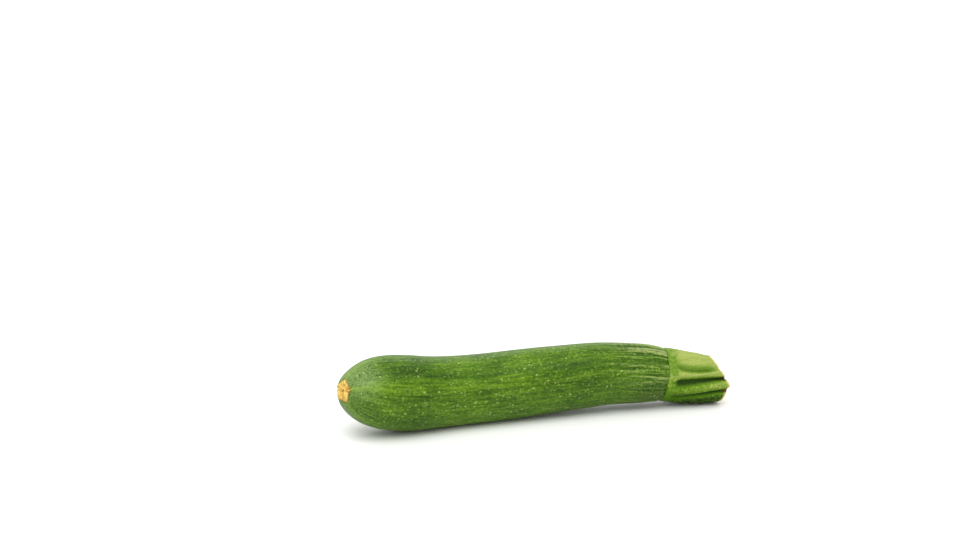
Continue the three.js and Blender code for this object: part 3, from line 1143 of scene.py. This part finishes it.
@dataclass(frozen=True)
class Stalk:
    """The cut stalk: a smooth collar, then ridges and grooves that turn on their way to a slanting cut."""

    line: CentreLine
    rind: StalkRind = StalkRind()
    flesh: CutFlesh = CutFlesh()
    cut: CutFace = CutFace()
    seat_gap: float = 0.12
    pressed_in: float = 0.1
    crest_radii: Stations = Stations(((166, 13.4), (174, 13.6), (182, 13.2), (191, 12.2), (199.4, 11)))
    grooves: tuple[Groove, ...] = (
        Groove(52, 50, -22, 1.7, 6, wider_above=1.9, rush=0.6, left_at_cut=0.45),
        Groove(-6, 26, 0, 3.0, 6, wider_below=2.3, narrowing=0.9),
        Groove(-58, -13, 4, 2.4, 9),
        Groove(-102, -66, 0, 2.6, 8),
        Groove(-148, -112, 5, 2.8, 9),
        Groove(-188, -160, 0, 2.2, 7),
        Groove(134, 154, -5, 2.7, 9),
        Groove(92, 106, 4, 2.0, 7),
    )
    full_groove: float = 2.6
    darkest_groove: float = 1.2
    twist: float = 32.0
    groove_start: float = 1.6
    groove_run_in: float = 5.4
    cut_short_on_top: float = 9.5
    cut_short_below: float = 2.5
    cut_short_behind: float = 3.0
    cut_curve: float = 1.4
    collar_radius: float = 13.4
    collar_waves: Ripples = Ripples(31, 5.0)
    collar_wave: float = 0.16
    lip: float = 0.4
    rim_round: float = 0.45
    grain_radius: float = 12.5
    fibres: Ripples = Ripples(32, 2.0, scale=(0.08, 1, 1))
    fibre_height: float = 0.16
    collar_fibres: float = 0.25
    bristles: Ripples = Ripples(33, 1.3, waves=48)
    bristle_height: float = 0.3
    swells: Ripples = Ripples(34, 9.0, scale=(0.5, 1, 1))
    swell_height: float = 0.18
    bristle_start: Span = (0.35, 0.95)
    on_crest: Span = (0.7, 0.3)
    bristles_on_top: float = 0.25
    off_top: Span = (0.75, 0.1)
    lifted: Span = (-0.75, 0.8)
    sides: int = 360
    seat_shares: tuple[float, float] = (0.1, 0.95)
    collar_share: float = 0.03
    rim_start: float = 0.975
    seat_rings: int = 10
    collar_rings: int = 12
    side_rings: int = 122
    rim_rings: int = 14
    cut_rings: int = 58
    bake_rows: tuple[float, ...] = (0.0, 2.0, 3.0, 36.0, 36.4, 50.0)

    def cut_short(self, degrees: np.ndarray) -> np.ndarray:
        """How far the cut falls short of the stalk's full length at each angle."""
        up, near = np.sin(np.radians(degrees)), np.cos(np.radians(degrees))
        above = self.cut_short_on_top * np.maximum(up, 0.0) ** self.cut_curve
        below = self.cut_short_below * np.maximum(-up, 0.0)
        return above + below + self.cut_short_behind * np.maximum(0.0, -near)

    def groove_depth(self, along: np.ndarray, degrees: np.ndarray) -> np.ndarray:
        """All the grooves together, deep beyond the smooth collar."""
        way = (along - self.line.seat) / (self.line.total - self.line.seat)
        return self._off_collar(along) * sum(groove.depth_at(way, degrees) for groove in self.grooves)

    def _off_collar(self, along: np.ndarray) -> np.ndarray:
        """0 on the smooth collar and 1 beyond it."""
        return ease(along - self.line.seat, self.groove_start, self.groove_start + self.groove_run_in)

    def build(self, shift: np.ndarray) -> bpy.types.Object:
        """Makes the stalk.

        Args:
            shift: From the courgette's own measure to the model's frame.

        Returns:
            The piece.
        """
        start = UNDERSIDE + 360 * np.arange(self.sides) / self.sides
        side, side_facts = self._side(start)
        closed = self.line.seat - self.pressed_in
        shares = np.linspace(*self.seat_shares, self.seat_rings)[:, None]
        seat_radii = shares * side_facts.pop("radius")[:1]
        seat = self.line.skin(np.full_like(seat_radii, closed), seat_radii, start + 0 * seat_radii)
        cut, cut_facts = self.cut.rings(side[-1], start, self.cut_rings)
        rings = np.concatenate([seat, side, cut])

        facts = {name: np.concatenate([np.repeat(v[:1], self.seat_rings, axis=0), v,
                                       np.repeat(v[-1:], self.cut_rings, axis=0)])
                 for name, v in side_facts.items()}
        before = len(rings) - self.cut_rings
        for name, values in cut_facts.items():
            facts[name] = np.concatenate([np.repeat(values[:1], before, axis=0), values])
        ends = (self.line.at(np.array(closed)), cut[-1].mean(axis=0))
        piece = ClosedSkin("grooved_stalk", rings, ends, self._rows(), facts).build(shift)
        piece.data.materials.append(self.rind.material())
        piece.data.materials.append(self.flesh.material())
        quads = (len(rings) - 1) * self.sides
        finishes = np.zeros(len(piece.data.polygons), dtype=np.int32)
        finishes[before * self.sides:quads] = 1
        finishes[quads + self.sides:] = 1
        piece.data.polygons.foreach_set("material_index", finishes)
        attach(piece, Body.WHOLE.value)
        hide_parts("stalk")
        return piece

    def _side(self, start: np.ndarray) -> tuple[np.ndarray, dict[str, np.ndarray]]:
        """The side, from the collar's edge to the cut.

        Args:
            start: The angle of each column at the collar.

        Returns:
            The rings, and the facts of their points with their radius.
        """
        t = np.concatenate([
            np.linspace(0, self.collar_share, self.collar_rings, endpoint=False),
            np.linspace(self.collar_share, self.rim_start, self.side_rings, endpoint=False),
            np.linspace(self.rim_start, 1, self.rim_rings),
        ])[:, None] + 0 * start
        column = np.broadcast_to(start, t.shape)
        degrees = column + self.twist * t
        wave = 0.5 + 0.5 * self.collar_waves.at(around(column, 0 * t, self.collar_radius))
        base = self.line.seat + self.seat_gap + np.maximum(self.collar_wave * wave, 0.0)
        length = self.line.total - self.cut_short(degrees) - base
        along = base + length * t
        from_base, to_cut = along - base, length * (1 - t)
        place = around(column, along, self.grain_radius)
        off_collar = self._off_collar(along)
        depth = self.groove_depth(along, degrees)
        groove = np.clip(depth / self.full_groove, 0, self.darkest_groove)

        up = np.sin(np.radians(degrees))
        bristle = ease(self.bristles.at(place), *self.bristle_start) * ease(groove, *self.on_crest)
        bristle *= off_collar * (self.bristles_on_top + (1 - self.bristles_on_top) * ease(up, *self.off_top))
        fibre = self.fibres.at(place) * (self.collar_fibres + (1 - self.collar_fibres) * off_collar)
        radius = self.crest_radii.at(along) - depth + self.fibre_height * fibre
        radius += self.bristle_height * bristle + self.swell_height * self.swells.at(place)
        for away, size in ((from_base, self.lip), (to_cut, self.rim_round)):
            radius -= size * (1 - np.sqrt(1 - np.clip(1 - away / size, 0, 1) ** 2))
        facts = {"place": place, "groove": groove, "lift": ease(up, *self.lifted), "collar": from_base,
                 "to_cut": to_cut, "bristle": bristle, "radius": radius}
        return self.line.skin(along, radius, degrees), facts

    def _rows(self) -> np.ndarray:
        """The rows of the bake map: little for the hidden seat, most for the side, the rest for the cut."""
        side = self.collar_rings + self.side_rings + self.rim_rings
        counts = (self.seat_rings + 1, side, self.cut_rings + 1)
        spans = zip(self.bake_rows[::2], self.bake_rows[1::2], counts)
        return np.concatenate([np.linspace(*span) for span in spans])


# ---- studio ----


@dataclass(frozen=True)
class Studio:
    """A pale table that curves up far away, soft light from above, and the camera."""

    table: TableTop = TableTop()
    flat_radius: float = 5.0
    wall_reach: float = 3.0
    wall_height: float = 2.6
    world: float = 0.8
    key_place: Point = (-0.3, -0.45, 1.2)
    key_size: float = 1.3
    key_power: float = 15.0
    back_place: Point = (1.0, 3.4, 2.4)
    back_size: float = 3.0
    back_power: float = 40.0
    aim: Point = (-0.0217, 0.0199, 0.0719)
    distance: float = 0.891
    azimuth: float = 18.0
    downward: float = 13.0
    lens: float = 67.5
    sensor: float = 36.0
    first_ring: float = 0.5
    table_sides: int = 96
    flat_rings: int = 9
    wall_rings: int = 24

    def build(self) -> None:
        """Makes the table, the lights and the camera."""
        self._floor()
        self._sky()
        self._lamp("key", self.key_place, self.key_size, self.key_power, (0.0, 0.0, 0.0))
        below_back = (*self.back_place[:2], 0.0)
        self._lamp("back", self.back_place, self.back_size, self.back_power, below_back)
        self._camera()
        bpy.context.scene.view_settings.view_transform = "Standard"

    def _floor(self) -> None:
        """The table: a disc that turns up into a round wall, so that no edge shows from any side."""
        sides = self.table_sides
        rise = np.linspace(0, math.pi / 2, self.wall_rings)
        flat = np.linspace(self.first_ring, self.flat_radius, self.flat_rings, endpoint=False)
        reaches = np.concatenate([flat, self.flat_radius + self.wall_reach * np.sin(rise)])
        heights = np.concatenate([0 * flat, self.wall_height * (1 - np.cos(rise))])
        angle = np.linspace(0, 2 * math.pi, sides, endpoint=False)
        across = (np.outer(reaches, np.cos(angle)), np.outer(reaches, np.sin(angle)))
        rings = np.stack([*across, np.outer(heights, np.ones(sides))], axis=-1)
        points = [*rings.reshape(-1, 3).tolist(), [0.0, 0.0, 0.0]]
        faces = [[len(points) - 1, j, (j + 1) % sides] for j in range(sides)]
        for i in range(len(reaches) - 1):
            here, ahead = i * sides, (i + 1) * sides
            for j in range(sides):
                following = (j + 1) % sides
                faces.append([here + j, ahead + j, ahead + following, here + following])
        mesh = bpy.data.meshes.new("table")
        mesh.from_pydata(points, [], faces)
        mesh.shade_smooth()
        mesh.materials.append(self.table.material())
        floor = bpy.data.objects.new("table", mesh)
        bpy.context.scene.collection.objects.link(floor)

    def _sky(self) -> None:
        """An even near-white sky."""
        world = bpy.data.worlds.new("studio")
        world.use_nodes = True
        sky = world.node_tree.nodes["Background"].inputs
        sky["Color"].default_value = (1.0, 1.0, 1.0, 1.0)
        sky["Strength"].default_value = self.world
        bpy.context.scene.world = world

    def _lamp(self, name: str, place: Point, size: float, power: float, towards: Point) -> None:
        """A square soft light.

        Args:
            name: The lamp's name.
            place: Where it hangs, in metres.
            size: The length of its side.
            power: Its power in watts.
            towards: The point that it faces.
        """
        lamp = bpy.data.lights.new(name, "AREA")
        lamp.size, lamp.energy = size, power
        piece = bpy.data.objects.new(name, lamp)
        piece.location = place
        piece.rotation_euler = (Vector(towards) - Vector(place)).to_track_quat("-Z", "Y").to_euler()
        bpy.context.scene.collection.objects.link(piece)

    def _camera(self) -> None:
        """The camera, level, looking down on the courgette from its blossom end's side."""
        turn, tilt = math.radians(self.azimuth), math.radians(self.downward)
        view = Vector((math.sin(turn) * math.cos(tilt), math.cos(turn) * math.cos(tilt), -math.sin(tilt)))
        lens = bpy.data.cameras.new("camera")
        lens.lens, lens.sensor_width = self.lens, self.sensor
        camera = bpy.data.objects.new("camera", lens)
        camera.location = Vector(self.aim) - self.distance * view
        camera.rotation_euler = view.to_track_quat("-Z", "Y").to_euler()
        bpy.context.scene.collection.objects.link(camera)
        bpy.context.scene.camera = camera


def main() -> None:
    """Builds the courgette and its studio, and logs each piece's faces and size."""
    logging.basicConfig(level=logging.INFO, format="%(message)s")
    line = CentreLine()
    fruit = Fruit(line)
    shift = fruit.frame_shift()
    for maker in (fruit, Stalk(line)):
        piece = maker.build(shift)
        size = tuple(round(side, 4) for side in piece.dimensions)
        log.info("%s: %d faces, %s m", piece.name, len(piece.data.polygons), size)
    Studio().build()


if __name__ == "__main__":
    main()
